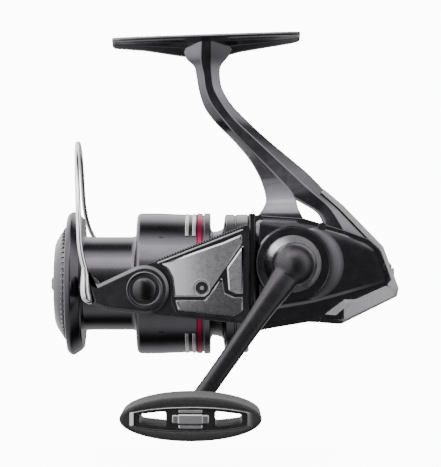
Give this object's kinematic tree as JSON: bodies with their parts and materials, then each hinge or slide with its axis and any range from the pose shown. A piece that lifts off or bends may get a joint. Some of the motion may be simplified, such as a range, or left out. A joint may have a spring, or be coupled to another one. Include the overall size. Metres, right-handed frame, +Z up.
{
  "type": "spinning reel",
  "caption": "Left-hand spinning reel with a foot and stem, folding bail on a two-armed rotor, flanged spool with front drag knob, and a cranked handle with a flat open knob.",
  "frame": {"origin": "centre of the foot's top face, which seats against the rod's reel seat", "axes": "+Z up from the spool to the foot, +X towards the rear of the reel, the handle on the -Y side; the spool axis runs along X"},
  "size_m": [0.123, 0.1171, 0.1377],
  "materials": {
    "gloss_black": "gloss black paint with a smoky grey edge",
    "satin_silver": "satin silver paint",
    "graphite_rotor": "satin charcoal paint",
    "spool_gunmetal": "satin gunmetal anodising",
    "spool_trim": "bright turned aluminium",
    "ring_grey": "satin grey anodising",
    "crimson": "crimson anodising",
    "knob_rubber": "matt black foam rubber",
    "black_plastic": "gloss black plastic",
    "hub_metal": "satin aluminium",
    "arm_metal": "gloss charcoal paint",
    "steel": "ground stainless steel",
    "bail_steel": "polished stainless steel",
    "bearing_steel": "bearing steel",
    "brass": "machined brass",
    "gear_zinc": "cast zinc alloy",
    "fastener": "plain steel",
    "dark_fastener": "black oxide steel",
    "drag_steel": "ground steel",
    "carbon": "woven carbon fibre"
  },
  "bodies": {
    "frame": {"body_frame": "gloss_black", "side_cover": "gloss_black", "rear_guard": "satin_silver", "far_cap": "gloss_black", "drive_bearing_near": "bearing_steel", "drive_bearing_far": "bearing_steel", "pinion_bearing_front": "bearing_steel", "pinion_bearing_rear": "bearing_steel", "one_way_clutch": "bearing_steel", "clutch_retainer": "fastener", "friction_ring": "knob_rubber", "guide_rod": "steel", "worm_bush": "brass", "cover_screws": "dark_fastener", "guard_screws": "fastener"},
    "handle": {"drive_gear": "gear_zinc", "handle_shaft": "steel", "handle_collar": "hub_metal", "handle_arm": "arm_metal", "knob_shaft": "steel", "knob_screw": "fastener"},
    "knob": {"knob_grip": "knob_rubber", "knob_frame": "black_plastic", "knob_hub": "hub_metal", "knob_bearings": "bearing_steel"},
    "rotor": {"rotor_body": "graphite_rotor", "pinion_gear": "brass", "clutch_sleeve": "bearing_steel", "nut_lock_washer": "fastener", "rotor_nut": "fastener", "near_arm_cover": "satin_silver", "far_arm_cover": "satin_silver", "arm_cover_screws": "dark_fastener", "bail_springs": "steel"},
    "bail": {"bail_arm": "graphite_rotor", "bail_holder": "graphite_rotor", "bail_wire": "bail_steel", "wire_cone": "bail_steel", "roller_pin": "steel", "bail_pivot_pins": "black_plastic"},
    "roller": {"line_roller": "bail_steel", "roller_bearing": "bearing_steel"},
    "shaft": {"main_shaft": "steel", "slider": "gear_zinc", "slider_pawl": "brass", "slider_screw": "fastener", "spool_support": "fastener", "drag_keyed_washers": "drag_steel"},
    "spool": {"spool_body": "spool_gunmetal", "spool_lip": "spool_gunmetal", "skirt_stripes": "spool_trim", "skirt_band": "crimson", "skirt_end_ring": "ring_grey", "line_clip": "black_plastic", "drag_eared_washers": "drag_steel", "drag_carbon_washers": "carbon", "washer_retainer": "fastener"},
    "drag": {"drag_knob": "black_plastic", "drag_nut": "brass"},
    "worm": {"worm_shaft": "brass"}
  },
  "joints": [
    {"name": "handle_turn", "type": "hinge", "parent": "frame", "child": "handle", "pos_m": [0.03, -0.02, -0.0811], "axis": [0, 1, 0], "continuous": true},
    {"name": "knob_spin", "type": "hinge", "parent": "handle", "child": "knob", "pos_m": [-0.00464, -0.06, -0.12948], "axis": [0, 1, 0], "continuous": true},
    {"name": "rotor_spin", "type": "hinge", "parent": "frame", "child": "rotor", "pos_m": [0, 0, -0.0883], "axis": [1, 0, 0], "continuous": true},
    {"name": "worm_spin", "type": "hinge", "parent": "frame", "child": "worm", "pos_m": [0.02, 0.0045, -0.0943], "axis": [1, 0, 0], "continuous": true},
    {"name": "bail_flip", "type": "hinge", "parent": "rotor", "child": "bail", "pos_m": [-0.0211, 0, -0.0897], "axis": [0, -1, 0], "range_deg": [0, 95]},
    {"name": "roller_spin", "type": "hinge", "parent": "bail", "child": "roller", "pos_m": [-0.04, -0.029, -0.0889], "axis": [0, 1, 0], "continuous": true},
    {"name": "shaft_slide", "type": "slide", "parent": "frame", "child": "shaft", "axis": [-1, 0, 0], "range_m": [0, 0.019]},
    {"name": "spool_slip", "type": "hinge", "parent": "shaft", "child": "spool", "pos_m": [-0.03, 0, -0.0883], "axis": [1, 0, 0], "continuous": true},
    {"name": "drag_turn", "type": "hinge", "parent": "shaft", "child": "drag", "pos_m": [-0.05, 0, -0.0883], "axis": [1, 0, 0], "range_deg": [-540, 540]}
  ],
  "couplings": [
    {"joint": "rotor_spin", "follows": "handle_turn", "ratio": -4.875},
    {"joint": "worm_spin", "follows": "handle_turn", "ratio": 3.5455}
  ]
}
